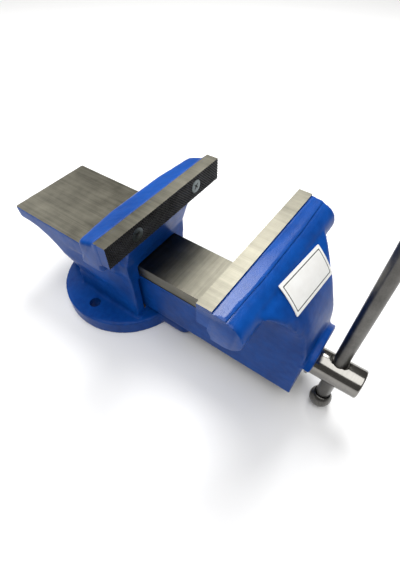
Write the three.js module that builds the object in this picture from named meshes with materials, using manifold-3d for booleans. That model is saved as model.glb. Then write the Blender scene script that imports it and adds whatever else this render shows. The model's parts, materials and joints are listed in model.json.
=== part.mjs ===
// Engineer's bench vise with an anvil, a fixed round base and 150 mm jaws.
// Millimetres, +Z up. The origin is the centre of the round base on the bench surface.
// +Y runs along the slide towards the anvil, -Y towards the spindle's handle.

import * as THREE from 'three';
import Module from 'manifold-3d';
import { mergeVertices } from 'three/addons/utils/BufferGeometryUtils.js';

const wasm = await Module();
wasm.setup();

// ---------------------------------------------------------------- driving dimensions

const jawWidth = 150;
const jawTop = 161.5;
const jawOpening = 83.5;
const faceY = -77;
const gap = 0.3;
const overrun = 5;
const lap = 1;
const weldTolerance = 1e-4;

const plateHeight = 21.8;
const plateThick = 9.1;
const plateScrewSpacing = 80;
const screwHeadRadius = 6.4;
const screwHeadDepth = 3.4;
const screwShankRadius = 3;
const screwLength = 20;
const screwRecess = 0.4;
const screwTip = 1;
const holeRunOn = 2;
const crossWidth = 1.3;
const crossReach = 3.4;
const crossDepth = 2.2;

const stripWidth = 12.8;
const stripStep = 1.6;
const bandDrop = 8.4;
const jawDepth = 30;
const wingDepth = 34.5;
const wingSetback = 2.4;
const seatDrop = 2;
const backChamfer = [2, 3];
const heelChamfer = 4;

const anvilWidth = 97.2;
const anvilTop = 104;
const anvilReach = 181.5;
const anvilRoot = 34;
const anvilFootFront = 60;
const anvilRootRise = 24;
const anvilUnderRise = 1.3;
const coveRadius = 59;
const coveSetback = 13.9;
const columnWidth = 88;
const columnDepth = 88.5;
const columnSetback = 21.5;
const browRise = 8;

const baseRadius = 76.5;
const baseThick = 19;
const benchHoleRadius = 6.5;
const benchHoleOffset = 57;
const tongueWidth = 52;
const tongueReach = 31;
const tongueCorner = 10;
const webMargin = 2;

const slideWidth = 57.6;
const slideTop = 90;
const slideBottom = 24.3;
const slideWall = 10;
const slideRoof = 9;
const slideFront = 156;
const slideRear = 148;
const guideHeight = 13.8;
const guideRelief = 3.8;
const frontWall = 14;

const flankTop = 107;
const shelfDepth = 10.6;
const noseDepth = 38;
const shoulderDrop = 3.7;
const bellyRadius = 88;
const bellyDrop = 81.5;
const bellyEdgeAngle = 128.5;
const chinSetback = 2;
const flareMargin = 2.3;
const hoodRadius = 35.5;
const hoodThick = 6.6;
const hoodFoot = 74.4;

const spindleHeight = 54;
const threadLead = 6;
const threadCrest = 11;
const threadRoot = 8.4;
const threadRelief = 0.4;
const threadFlank = 0.27;
const threadStart = 62;
const threadEnd = 140;
const threadSides = 16;
const journalEnd = 111;
const headShoulder = 2.2;
const headEnd = 203;
const headChamfer = 2;
const runningGap = 0.4;

const nutFront = 29;
const nutLength = 62;
const nutBoltCover = 3;
const nutBoltRadius = 4;
const nutBoltInset = 10;
const nutBoltSpacing = 24;
const nutBoltLength = 28;
const nutBoltHeadRadius = 7.5;
const nutBoltHeadHeight = 5.3;
const nutWasherRadius = 8.2;
const nutWasherThick = 1.6;
const counterboreRadius = 9;
const headRoom = 2;

const thrustWasherRim = 2;
const thrustWasherThick = 3;
const springWire = 1.25;
const springLength = 19.5;
const springTurns = 4;
const springEndGap = 0.5;
const springSides = 8;
const springSteps = 16;
const retainerThick = 2.5;
const pinRadius = 2;
const pinLength = 34;
const pinBore = 0.9;
const channelClearance = 1.8;

const barRadius = 6.5;
const barLean = 8.6;
const barY = 179.2;
const barLowReach = 43.6;
const barHighReach = 186;
const knobRadius = 10.4;
const knobFlat = 7.4;
const spigotRadius = 4;
const spigotLength = 9;

const labelWidth = 59;
const labelHeight = 27.4;
const labelThick = 0.4;
const labelOffset = 4.2;
const labelAngle = 135.5;
const labelTilt = 5;

const roundSides = 32;
const smallSides = 20;
const pinSides = 12;
const arcSteps = 8;

// ---------------------------------------------------------------- worked-out places

const movingFaceY = faceY - jawOpening;
const spindleFront = faceY - slideFront;
const plateMiddle = jawTop - plateHeight / 2;
const plateBottom = jawTop - plateHeight;
const wingBottom = jawTop - wingDepth;
const webTop = slideBottom - gap;
const halfSlide = slideWidth / 2;
const halfChannel = halfSlide - slideWall;
const channelTop = slideTop - slideRoof;
const wallInside = spindleFront + frontWall;
const nutFrontY = faceY + nutFront;
const nutBoltPlaces = [nutFrontY + nutBoltInset, nutFrontY + nutBoltInset + nutBoltSpacing];
const counterboreDepth = nutBoltHeadHeight + nutWasherThick + 2 * gap + headRoom;
const journalRadius = threadCrest + gap;
const headRadius = journalRadius + headShoulder;
const thrustWasherRadius = headRadius + thrustWasherRim;
const retainerRadius = halfChannel - channelClearance;
const nutWidth = 2 * (halfChannel - channelClearance);
const shoulderY = spindleFront - 2 * gap - thrustWasherThick;
const retainerY = wallInside + springLength + 2 * gap;
const pinY = retainerY + retainerThick + pinRadius + gap;
const barAngle = THREE.MathUtils.degToRad(barLean);
const shelfFrontY = movingFaceY - stripWidth - shelfDepth;
const bellyCentre = [spindleFront + bellyRadius, jawTop - bellyDrop];

const paint = () => new THREE.MeshStandardMaterial({ color: 0x14439c, roughness: 0.38, metalness: 0 });
const ground = () => new THREE.MeshStandardMaterial({ color: 0x9b948a, roughness: 0.35, metalness: 1 });
const bright = () => new THREE.MeshStandardMaterial({ color: 0xc3c1bd, roughness: 0.2, metalness: 1 });
const dark = () => new THREE.MeshStandardMaterial({ color: 0x4c4a46, roughness: 0.4, metalness: 1 });
const black = () => new THREE.MeshStandardMaterial({ color: 0x1b1c1f, roughness: 0.45, metalness: 0.8 });
const white = () => new THREE.MeshStandardMaterial({ color: 0xf2f2ee, roughness: 0.5, metalness: 0 });

// ---------------------------------------------------------------- solids

function signedVolume(points, index) {
  const a = new THREE.Vector3();
  const b = new THREE.Vector3();
  const c = new THREE.Vector3();
  let volume = 0;
  for (let i = 0; i < index.length; i += 3) {
    a.fromArray(points, 3 * index[i]);
    b.fromArray(points, 3 * index[i + 1]);
    c.fromArray(points, 3 * index[i + 2]);
    volume += a.dot(b.cross(c));
  }
  return volume;
}

// A closed three.js geometry, moved by a matrix, as a manifold solid that faces outwards.
function solid(geometry, matrix = new THREE.Matrix4()) {
  const bare = geometry.clone().applyMatrix4(matrix);
  for (const name of Object.keys(bare.attributes)) {
    if (name !== 'position') bare.deleteAttribute(name);
  }
  const merged = mergeVertices(bare, weldTolerance);
  const points = Float32Array.from(merged.attributes.position.array);
  const index = [];
  for (let i = 0; i < merged.index.count; i += 3) {
    const [a, b, c] = [0, 1, 2].map((k) => merged.index.getX(i + k));
    if (a !== b && b !== c && c !== a) index.push(a, b, c);
  }
  if (signedVolume(points, index) < 0) index.reverse();
  return new wasm.Manifold(
    new wasm.Mesh({ numProp: 3, vertProperties: points, triVerts: Uint32Array.from(index) }),
  );
}

function union(first, ...others) {
  return others.reduce((sum, other) => sum.add(other), first);
}

function cut(first, ...others) {
  return others.reduce((rest, other) => rest.subtract(other), first);
}

function outline(points) {
  return new THREE.Shape(points.map(([a, b]) => new THREE.Vector2(a, b)));
}

function prism(points, depth, basis, place) {
  const geometry = new THREE.ExtrudeGeometry(outline(points), { depth, bevelEnabled: false });
  return solid(geometry, basis.clone().setPosition(...place));
}

const axisX = new THREE.Vector3(1, 0, 0);
const axisY = new THREE.Vector3(0, 1, 0);
const axisZ = new THREE.Vector3(0, 0, 1);
const alongX = new THREE.Matrix4().makeBasis(axisY, axisZ, axisX);
const alongMinusY = new THREE.Matrix4().makeBasis(axisX, axisZ, axisY.clone().negate());
const alongZ = new THREE.Matrix4();

// A (y, z) outline, as wide as width and centred on x = 0.
function sideProfile(points, width) {
  return prism(points, width, alongX, [-width / 2, 0, 0]);
}

// An (x, z) outline, from y = start to y = end.
function frontProfile(points, start, end) {
  return prism(points, end - start, alongMinusY, [0, end, 0]);
}

// An (x, y) outline, from z = bottom to z = top.
function planProfile(points, bottom, top) {
  return prism(points, top - bottom, alongZ, [0, 0, bottom]);
}

function box(low, high) {
  const size = high.map((value, i) => value - low[i]);
  const middle = high.map((value, i) => (value + low[i]) / 2);
  return solid(new THREE.BoxGeometry(...size), new THREE.Matrix4().makeTranslation(...middle));
}

// A turned solid: (radius, station) points, round an axis that starts at place and runs along direction.
function turned(points, sides, place = [0, 0, 0], direction = axisY) {
  const profile = points.map(([radius, station]) => new THREE.Vector2(radius, station));
  const turn = new THREE.Quaternion().setFromUnitVectors(axisY, direction);
  const matrix = new THREE.Matrix4().makeRotationFromQuaternion(turn).setPosition(...place);
  return solid(new THREE.LatheGeometry(profile, sides), matrix);
}

function rod(radius, start, end, sides, place, direction) {
  return turned([[0, start], [radius, start], [radius, end], [0, end]], sides, place, direction);
}

function ring(inner, outer, start, end, sides, place, direction) {
  return cut(
    rod(outer, start, end, sides, place, direction),
    rod(inner, start - overrun, end + overrun, sides, place, direction),
  );
}

// Points on an arc, from angle start to angle end in degrees, both ends included.
function arc(centreA, centreB, radius, start, end, steps) {
  return Array.from({ length: steps + 1 }, (_, i) => {
    const angle = THREE.MathUtils.degToRad(start + ((end - start) * i) / steps);
    return [centreA + radius * Math.cos(angle), centreB + radius * Math.sin(angle)];
  });
}

function mirrored(points) {
  return [...points, ...points.map(([x, z]) => [-x, z]).reverse()];
}

// ---------------------------------------------------------------- screw thread

// A right-hand screw round the Y axis: swell grows it on every side, which makes the nut's cutter.
function threadForm(swell) {
  const rise = (threadCrest - threadRoot) * threadFlank;
  const crestWidth = threadLead / 2 - rise + 2 * swell;
  const rootWidth = threadLead - crestWidth - 2 * rise;
  return [
    [threadRoot + swell, 0],
    [threadRoot + swell, rootWidth],
    [threadCrest + swell, rootWidth + rise],
    [threadCrest + swell, rootWidth + rise + crestWidth],
  ].map(([radius, y]) => [radius, y - rootWidth / 2]);
}

function screw(start, end, swell) {
  const form = threadForm(swell);
  const turns = Math.ceil((end - start) / threadLead) + 3;
  const first = Math.floor(start / threadLead) - 1;
  const rows = turns * form.length;
  const points = [];
  const index = [];
  for (let row = 0; row < rows; row += 1) {
    const [radius, offset] = form[row % form.length];
    const turn = first + Math.floor(row / form.length);
    for (let side = 0; side < threadSides; side += 1) {
      const angle = (2 * Math.PI * side) / threadSides;
      const y = (turn + side / threadSides) * threadLead + offset;
      points.push(radius * Math.sin(angle), y, radius * Math.cos(angle));
    }
  }
  const at = (row, side) => (side < threadSides ? row * threadSides + side : (row + form.length) * threadSides);
  for (let row = 0; row + 1 + form.length < rows; row += 1) {
    for (let side = 0; side < threadSides; side += 1) {
      index.push(at(row, side), at(row, side + 1), at(row + 1, side + 1));
      index.push(at(row, side), at(row + 1, side + 1), at(row + 1, side));
    }
  }
  const last = rows - 1 - form.length;
  const edge = (row) => [
    ...Array.from({ length: threadSides }, (_, side) => at(row, side)),
    ...Array.from({ length: form.length }, (_, step) => at(row + form.length - step, 0)),
  ];
  for (const [row, way] of [[0, 1], [last, -1]]) {
    const loop = edge(row);
    const level = way > 0 ? points[3 * at(row, 0) + 1] : points[3 * at(row + form.length, 0) + 1];
    const centre = points.push(0, level, 0) / 3 - 1;
    loop.forEach((vertex, i) => {
      const next = loop[(i + 1) % loop.length];
      index.push(...(way > 0 ? [centre, next, vertex] : [centre, vertex, next]));
    });
  }
  const geometry = new THREE.BufferGeometry();
  geometry.setAttribute('position', new THREE.Float32BufferAttribute(points, 3));
  geometry.setIndex(index);
  const axis = new THREE.Matrix4().makeTranslation(0, 0, spindleHeight);
  const trim = rod(threadCrest + overrun, start, end, threadSides, [0, 0, spindleHeight]);
  return solid(geometry, axis).intersect(trim);
}

// ---------------------------------------------------------------- fixed jaw

function slidePassage(start, end) {
  const narrow = halfSlide + gap;
  const wide = halfSlide + guideRelief;
  const guideFoot = slideTop - guideHeight;
  return frontProfile(mirrored([
    [wide, webTop],
    [wide, guideFoot - guideRelief],
    [narrow, guideFoot],
    [narrow, slideTop + gap],
  ]), start, end);
}

function fixedWings() {
  const halfJaw = jawWidth / 2;
  const sweep = halfJaw - columnWidth / 2;
  return frontProfile(mirrored([
    ...arc(halfJaw, wingBottom - sweep, sweep, 180, 90, arcSteps),
    [halfJaw, wingBottom + overrun],
  ]), faceY + columnSetback, faceY + plateThick + jawDepth - lap);
}

function fixedJawHead() {
  const back = faceY + plateThick + gap;
  const rear = faceY + plateThick + jawDepth;
  const rim = jawTop - stripStep - bandDrop;
  return sideProfile([
    [back, plateBottom - seatDrop],
    [back, jawTop],
    [faceY + stripWidth, jawTop],
    [faceY + stripWidth, jawTop - stripStep],
    [rear - backChamfer[0], rim],
    [rear, rim - backChamfer[1]],
    [rear, wingBottom],
    [rear - heelChamfer, wingBottom - heelChamfer],
    [back + wingSetback, wingBottom],
    [back + wingSetback, plateBottom - seatDrop],
  ], jawWidth);
}

function fixedColumn() {
  const front = faceY + columnSetback;
  const rear = front + columnDepth;
  const brow = faceY + plateThick + wingSetback;
  const neck = faceY + plateThick + jawDepth - lap;
  return sideProfile([
    [front, lap],
    [rear, lap],
    [rear, anvilTop - lap],
    [neck, anvilTop - lap],
    [neck, wingBottom + lap],
    [brow, wingBottom + lap],
    [brow, wingBottom],
    [front, slideTop + browRise],
  ], columnWidth);
}

function anvilBlock() {
  const under = slideTop + anvilUnderRise;
  const tip = faceY + anvilReach;
  const cove = arc(tip - coveSetback, under - coveRadius, coveRadius, 90, 165, arcSteps);
  const foot = cove[arcSteps][1];
  return sideProfile([
    [faceY + anvilRoot, anvilTop],
    [tip, anvilTop],
    [tip, under],
    ...cove,
    [faceY + anvilFootFront, foot],
    [faceY + anvilRoot, foot + anvilRootRise],
  ], anvilWidth);
}

function tongue() {
  const half = tongueWidth / 2;
  const corner = tongueCorner;
  const tip = faceY - tongueReach;
  return planProfile([
    [half, faceY + columnSetback + overrun],
    [-half, faceY + columnSetback + overrun],
    ...arc(-half + corner, tip + corner, corner, 180, 270, 4),
    ...arc(half - corner, tip + corner, corner, 270, 360, 4),
  ], 0, webTop);
}

function plateScrewHoles(face, way) {
  return [-1, 1].map((side) => rod(
    screwShankRadius + gap, 0, screwLength + holeRunOn, smallSides,
    [(side * plateScrewSpacing) / 2, face, plateMiddle], axisY.clone().multiplyScalar(way),
  ));
}

function nutBoltHoles() {
  return nutBoltPlaces.map((y) => union(
    rod(nutBoltRadius + gap, -overrun, webTop + overrun, smallSides, [0, y, 0], axisZ),
    rod(counterboreRadius, -overrun, counterboreDepth, smallSides, [0, y, 0], axisZ),
  ));
}

function fixedJawBody() {
  const flange = rod(baseRadius, 0, baseThick, 2 * roundSides, [0, 0, 0], axisZ);
  const web = box(
    [-halfSlide - guideRelief - webMargin, faceY + columnSetback, 0],
    [halfSlide + guideRelief + webMargin, faceY + columnSetback + columnDepth, webTop],
  );
  const casting = union(flange, fixedColumn(), anvilBlock(), fixedWings(), fixedJawHead());
  const passage = slidePassage(faceY - overrun, faceY + anvilReach + overrun);
  const benchHoles = [-1, 1].map((side) => rod(
    benchHoleRadius, -overrun, baseThick + overrun, smallSides, [side * benchHoleOffset, 0, 0], axisZ,
  ));
  return cut(
    union(cut(casting, passage), web, tongue()),
    ...benchHoles,
    ...nutBoltHoles(),
    ...plateScrewHoles(faceY, 1),
  );
}

// ---------------------------------------------------------------- sliding jaw

function bellyWidths() {
  const radius = jawWidth / 2 - halfSlide + flareMargin;
  const flare = arc(halfSlide + radius, flankTop, radius, 180, 95, arcSteps);
  return frontProfile(mirrored([
    [halfSlide, slideBottom],
    ...flare,
    [flare[arcSteps][0], jawTop],
  ]), spindleFront - overrun, movingFaceY);
}

function slidingBelly() {
  const back = movingFaceY - plateThick - wingSetback;
  const shelf = jawTop - stripStep;
  const belly = arc(...bellyCentre, bellyRadius, bellyEdgeAngle, 180, arcSteps);
  const side = sideProfile([
    [back, slideTop - lap],
    [back, shelf - lap],
    [shelfFrontY, shelf - lap],
    [(shelfFrontY + belly[0][0]) / 2, shelf - shoulderDrop],
    ...belly,
    [spindleFront + chinSetback, slideBottom],
    [wallInside, slideBottom],
    [wallInside, slideTop - lap],
  ], jawWidth);
  return side.intersect(bellyWidths());
}

// The rounded bar that runs the jaw's full width, flat on top behind the ground strip.
function slidingNose() {
  const back = movingFaceY - plateThick - gap;
  const shelf = jawTop - stripStep;
  const radius = wingDepth / 2 - stripStep / 2;
  const front = movingFaceY - noseDepth;
  return sideProfile([
    [back, jawTop],
    [back, plateBottom - seatDrop],
    [back - wingSetback, plateBottom - seatDrop],
    [back - wingSetback, wingBottom],
    ...arc(front + radius, wingBottom + radius, radius, 270, 115, 10),
    [shelfFrontY, shelf],
    [movingFaceY - stripWidth, shelf],
    [movingFaceY - stripWidth, jawTop],
  ], jawWidth);
}

function slideChannel() {
  const rear = faceY + slideRear;
  const bar = box([-halfSlide, spindleFront + chinSetback, slideBottom], [halfSlide, rear, slideTop]);
  const hollow = box([-halfChannel, wallInside, slideBottom - overrun], [halfChannel, rear + overrun, channelTop]);
  return { bar, hollow };
}

function hood() {
  const disc = rod(hoodRadius, spindleFront - hoodThick, spindleFront + lap, 2 * roundSides, [0, 0, spindleHeight]);
  const trim = box([-halfSlide, spindleFront - 2 * hoodThick, hoodFoot], [halfSlide, wallInside, flankTop]);
  return disc.intersect(trim);
}

function slidingJawBody() {
  const { bar, hollow } = slideChannel();
  const bore = rod(
    journalRadius + runningGap, spindleFront - overrun, wallInside + overrun, roundSides, [0, 0, spindleHeight],
  );
  return cut(
    union(bar, slidingBelly(), slidingNose(), hood()),
    hollow,
    bore,
    ...plateScrewHoles(movingFaceY, -1),
  );
}

// ---------------------------------------------------------------- jaw plates and their screws

function jawPlate(face, way) {
  const low = Math.min(face, face + way * plateThick);
  const blank = box([-jawWidth / 2, low, plateBottom], [jawWidth / 2, low + plateThick, jawTop]);
  const holes = [-1, 1].map((side) => turned([
    [0, -overrun],
    [screwHeadRadius + gap, -overrun],
    [screwHeadRadius + gap, screwRecess],
    [screwShankRadius + gap, screwRecess + screwHeadDepth],
    [screwShankRadius + gap, plateThick + overrun],
    [0, plateThick + overrun],
  ], smallSides, [(side * plateScrewSpacing) / 2, face, plateMiddle], axisY.clone().multiplyScalar(way)));
  return cut(blank, ...holes);
}

function plateScrew(face, way, side) {
  const place = [(side * plateScrewSpacing) / 2, face, plateMiddle];
  const blank = turned([
    [0, screwRecess],
    [screwHeadRadius, screwRecess],
    [screwShankRadius, screwRecess + screwHeadDepth],
    [screwShankRadius, screwLength - screwTip],
    [screwShankRadius - screwTip, screwLength],
    [0, screwLength],
  ], smallSides, place, axisY.clone().multiplyScalar(way));
  const floor = face + way * (screwRecess + crossDepth);
  const mouth = face - way * overrun;
  const slots = [[crossReach, crossWidth / 2], [crossWidth / 2, crossReach]].map(([halfX, halfZ]) => box(
    [place[0] - halfX, Math.min(floor, mouth), plateMiddle - halfZ],
    [place[0] + halfX, Math.max(floor, mouth), plateMiddle + halfZ],
  ));
  return cut(blank, ...slots);
}

// ---------------------------------------------------------------- nut and its bolts

function mainNut() {
  const half = nutWidth / 2;
  const foot = webTop + gap;
  const block = frontProfile([
    [-half, foot],
    [half, foot],
    ...arc(0, spindleHeight, half, 0, 180, 12),
  ], nutFrontY, nutFrontY + nutLength);
  const bolts = nutBoltPlaces.map((y) => rod(
    nutBoltRadius + gap, 0, spindleHeight - threadCrest - nutBoltCover, smallSides, [0, y, 0], axisZ,
  ));
  const thread = screw(nutFrontY - overrun, nutFrontY + nutLength + overrun, threadRelief);
  return cut(block, thread, ...bolts);
}

function nutBolt(y) {
  const headTop = counterboreDepth - nutWasherThick - 2 * gap;
  const head = rod(nutBoltHeadRadius, headTop - nutBoltHeadHeight, headTop, 6, [0, y, 0], axisZ);
  const shank = rod(nutBoltRadius, headTop - lap, headTop + nutBoltLength, smallSides, [0, y, 0], axisZ);
  return union(head, shank);
}

function nutBoltWasher(y) {
  const top = counterboreDepth - gap;
  return ring(nutBoltRadius + gap, nutWasherRadius, top - nutWasherThick, top, smallSides, [0, y, 0], axisZ);
}

// ---------------------------------------------------------------- spindle and what retains it

function spindle() {
  const axis = [0, 0, spindleHeight];
  const front = faceY - headEnd;
  const blank = turned([
    [0, front],
    [headRadius - headChamfer, front],
    [headRadius, front + headChamfer],
    [headRadius, shoulderY],
    [journalRadius, shoulderY],
    [journalRadius, faceY - journalEnd],
    [threadRoot, faceY - journalEnd + headChamfer],
    [threadRoot, faceY - threadStart + lap],
    [0, faceY - threadStart + lap],
  ], roundSides, axis);
  const thread = screw(faceY - threadStart, faceY + threadEnd, 0);
  const barHole = rod(
    barRadius + runningGap, -headRadius - overrun, headRadius + overrun, smallSides,
    [0, faceY - barY, spindleHeight], barDirection(),
  );
  const pinHole = rod(
    pinRadius + gap, -journalRadius - overrun, journalRadius + overrun, smallSides,
    [0, pinY, spindleHeight], barDirection(),
  );
  return cut(union(blank, thread), barHole, pinHole);
}

function thrustWasher() {
  const end = spindleFront - gap;
  return ring(
    journalRadius + runningGap, thrustWasherRadius, end - thrustWasherThick, end, roundSides,
    [0, 0, spindleHeight],
  );
}

function retainingWasher() {
  return ring(
    journalRadius + runningGap, retainerRadius, retainerY, retainerY + retainerThick, roundSides,
    [0, 0, spindleHeight],
  );
}

class CoilCurve extends THREE.Curve {
  constructor(radius, start, length, turns) {
    super();
    Object.assign(this, { radius, start, length, turns });
  }

  getPoint(share, target = new THREE.Vector3()) {
    const angle = 2 * Math.PI * this.turns * share;
    return target.set(
      this.radius * Math.sin(angle), this.start + this.length * share, this.radius * Math.cos(angle),
    );
  }
}

function retainingSpring() {
  const section = outline(arc(0, 0, springWire, 0, 360, springSides).slice(0, springSides));
  const start = wallInside + gap + springWire + springEndGap;
  const length = springLength - 2 * (springWire + springEndGap);
  const path = new CoilCurve(journalRadius + 2 * gap + springWire, start, length, springTurns);
  const geometry = new THREE.ExtrudeGeometry(section, {
    steps: springSteps * springTurns, bevelEnabled: false, extrudePath: path,
  });
  return solid(geometry, new THREE.Matrix4().makeTranslation(0, 0, spindleHeight));
}

function splitPin() {
  return ring(
    pinBore, pinRadius, -pinLength / 2, pinLength / 2, pinSides, [0, pinY, spindleHeight], barDirection(),
  );
}

// ---------------------------------------------------------------- tommy bar

function barDirection() {
  return new THREE.Vector3(Math.sin(barAngle), 0, Math.cos(barAngle));
}

// Stations along the bar are measured from the spindle's axis, upwards.
function barStations() {
  return { place: [0, faceY - barY, spindleHeight], low: knobFlat - barLowReach, high: barHighReach - knobFlat };
}

function tommyBar() {
  const { place, low, high } = barStations();
  return turned([
    [0, low - spigotLength],
    [spigotRadius, low - spigotLength],
    [spigotRadius, low],
    [barRadius, low],
    [barRadius, high],
    [spigotRadius, high],
    [spigotRadius, high + spigotLength],
    [0, high + spigotLength],
  ], smallSides, place, barDirection());
}

// way is -1 for the lower knob and 1 for the upper one.
function barKnob(way) {
  const { place, low, high } = barStations();
  const seat = way < 0 ? low : high;
  const centre = seat + way * (knobFlat + gap);
  const tilt = THREE.MathUtils.radToDeg(Math.asin(knobFlat / knobRadius));
  const round = arc(0, 0, knobRadius, -tilt, 90, 9).map(([radius, rise]) => [
    Math.max(radius, 0), centre + way * rise,
  ]);
  const ball = turned([[0, seat + way * gap], ...round.slice(0, -1), [0, centre + way * knobRadius]],
    smallSides, place, barDirection());
  const floor = seat + way * (spigotLength + gap);
  const mouth = seat - way * lap;
  const ends = [Math.min(mouth, floor), Math.max(mouth, floor)];
  return cut(ball, rod(spigotRadius + gap, ...ends, smallSides, place, barDirection()));
}

// ---------------------------------------------------------------- label

function blankLabel() {
  const angle = THREE.MathUtils.degToRad(labelAngle);
  const tilt = THREE.MathUtils.degToRad(labelTilt);
  const normal = new THREE.Vector3(0, Math.cos(angle), Math.sin(angle));
  const middle = new THREE.Vector3(labelOffset, ...bellyCentre);
  middle.addScaledVector(normal, bellyRadius + gap + labelThick / 2);
  const sideways = axisX.clone().applyAxisAngle(normal, -tilt);
  const matrix = new THREE.Matrix4().makeBasis(sideways, normal.clone().cross(sideways), normal);
  return solid(new THREE.BoxGeometry(labelWidth, labelHeight, labelThick), matrix.setPosition(middle));
}

// ---------------------------------------------------------------- assembly

const group = new THREE.Group();

function addPart(name, manifold, material) {
  const { vertProperties, triVerts } = manifold.getMesh();
  const geometry = new THREE.BufferGeometry();
  geometry.setAttribute('position', new THREE.BufferAttribute(vertProperties, 3));
  geometry.setIndex(new THREE.BufferAttribute(triVerts, 1));
  geometry.computeVertexNormals();
  const mesh = new THREE.Mesh(geometry, material);
  mesh.name = name;
  group.add(mesh);
}

addPart('fixed_jaw_body', fixedJawBody(), paint());
addPart('sliding_jaw_body', slidingJawBody(), paint());
for (const [jaw, face, way] of [['fixed', faceY, 1], ['sliding', movingFaceY, -1]]) {
  addPart(`${jaw}_jaw_plate`, jawPlate(face, way), black());
  addPart(`${jaw}_plate_screw_left`, plateScrew(face, way, -1), bright());
  addPart(`${jaw}_plate_screw_right`, plateScrew(face, way, 1), bright());
}
addPart('main_nut', mainNut(), ground());
for (const [i, place] of ['front', 'rear'].entries()) {
  addPart(`nut_bolt_${place}`, nutBolt(nutBoltPlaces[i]), dark());
  addPart(`nut_bolt_washer_${place}`, nutBoltWasher(nutBoltPlaces[i]), bright());
}
addPart('spindle', spindle(), bright());
addPart('thrust_washer', thrustWasher(), dark());
addPart('retaining_spring', retainingSpring(), dark());
addPart('retaining_washer', retainingWasher(), bright());
addPart('split_pin', splitPin(), dark());
addPart('tommy_bar', tommyBar(), dark());
addPart('bar_knob_lower', barKnob(-1), dark());
addPart('bar_knob_upper', barKnob(1), dark());
addPart('blank_label', blankLabel(), white());

export default group;
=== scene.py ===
"""A bench vise: its castings, plates, screw and handle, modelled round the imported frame."""

import json
import math
from contextlib import contextmanager

import bpy
from mathutils import Matrix, Vector


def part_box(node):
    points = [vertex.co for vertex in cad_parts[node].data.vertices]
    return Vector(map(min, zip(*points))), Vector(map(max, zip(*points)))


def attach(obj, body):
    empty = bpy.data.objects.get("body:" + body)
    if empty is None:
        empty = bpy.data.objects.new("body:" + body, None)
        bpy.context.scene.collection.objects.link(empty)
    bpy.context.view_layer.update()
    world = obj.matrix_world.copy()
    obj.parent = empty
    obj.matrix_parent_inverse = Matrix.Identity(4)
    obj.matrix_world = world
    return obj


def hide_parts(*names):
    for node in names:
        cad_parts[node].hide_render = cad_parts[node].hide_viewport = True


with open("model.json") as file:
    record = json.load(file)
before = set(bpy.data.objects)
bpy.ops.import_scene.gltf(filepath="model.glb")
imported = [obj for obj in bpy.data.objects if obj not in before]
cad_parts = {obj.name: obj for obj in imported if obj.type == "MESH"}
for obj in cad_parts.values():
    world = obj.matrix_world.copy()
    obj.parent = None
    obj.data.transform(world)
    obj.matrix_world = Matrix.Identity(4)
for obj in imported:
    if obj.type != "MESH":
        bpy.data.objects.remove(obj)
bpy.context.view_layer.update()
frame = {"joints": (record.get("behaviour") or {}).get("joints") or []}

bl_info = {
    "name": "Bench vise",
    "version": (1, 0, 0),
    "blender": (4, 5, 0),
    "location": "View3D > Sidebar > Vise",
    "description": "Models the castings, jaw plates, screw and handle of a bench vise on its frame",
    "category": "Add Mesh",
}

MM = 0.001


def corner(node, which):
    """A corner of a node's box in millimetres: 0 is the lowest, 1 the highest."""
    return [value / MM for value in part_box(node)[which]]


def corners(node):
    """The lowest and the highest corner of a node's box."""
    return corner(node, 0), corner(node, 1)


def centre_of(node):
    """The middle of a node's box."""
    return [(low + high) / 2 for low, high in zip(*corners(node))]


# Places in millimetres, read from the frame.
FACE_Y = corner("fixed_jaw_plate", 0)[1]
MOVING_Y = corner("sliding_jaw_plate", 1)[1]
PLATE_FOOT = corner("fixed_jaw_plate", 0)[2]
HALF_JAW, PLATE_REAR, JAW_TOP = corner("fixed_jaw_plate", 1)
PLATE_THICK = PLATE_REAR - FACE_Y
SCREW_X = centre_of("fixed_plate_screw_right")[0]
SCREW_Z = (JAW_TOP + PLATE_FOOT) / 2
SCREW_LENGTH = corner("fixed_plate_screw_right", 1)[1] - FACE_Y
BASE_RADIUS = corner("fixed_jaw_body", 1)[0]
ANVIL_REAR = corner("fixed_jaw_body", 1)[1]
TONGUE_TIP = corner("fixed_jaw_body", 0)[1]
SLIDE_REAR = corner("sliding_jaw_body", 1)[1]
SLIDE_FOOT = corner("sliding_jaw_body", 0)[2]
HOOD_FRONT = corner("sliding_jaw_body", 0)[1]
HEAD_FRONT = corner("spindle", 0)[1]
THREAD_REAR = corner("spindle", 1)[1]
WASHER_FRONT = corner("thrust_washer", 0)[1]
AXIS_Z = centre_of("thrust_washer")[2]
SPINDLE_SPOT = (0, AXIS_Z)
BAR_TURN = next(joint["axis"] for joint in frame["joints"] if joint["name"] == "tommy_slide")
BAR_CENTRE = (0, centre_of("bar_knob_lower")[1], AXIS_Z)

AXES = {"X": Vector((1, 0, 0)), "Y": Vector((0, 1, 0)), "Z": Vector((0, 0, 1))}


def face(y):
    """A place that many millimetres behind the fixed jaw's face."""
    return FACE_Y + y


# ---------------------------------------------------------------- modelling by hand

def clear_selection():
    """Deselects everything, so that the next operator acts on its own primitive."""
    if bpy.context.object and bpy.context.object.mode != "OBJECT":
        bpy.ops.object.mode_set(mode="OBJECT")
    bpy.ops.object.select_all(action="DESELECT")


def only(*objects):
    """Selects just these objects and makes the first one active."""
    clear_selection()
    for thing in objects:
        thing.select_set(True)
    bpy.context.view_layer.objects.active = objects[0]


@contextmanager
def edit_mode(thing, choice="SELECT"):
    """Edit mode on an object, with all of it selected, with none of it, or as it was chosen before."""
    only(thing)
    bpy.ops.object.mode_set(mode="EDIT")
    if choice:
        bpy.ops.mesh.select_all(action=choice)
    yield
    bpy.ops.object.mode_set(mode="OBJECT")


def choose(thing, kind, wanted):
    """Selects the edges or polygons of an object that are wanted, and no others."""
    with edit_mode(thing, "DESELECT"):
        pass
    for part in getattr(thing.data, kind):
        part.select = wanted(part)


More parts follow.
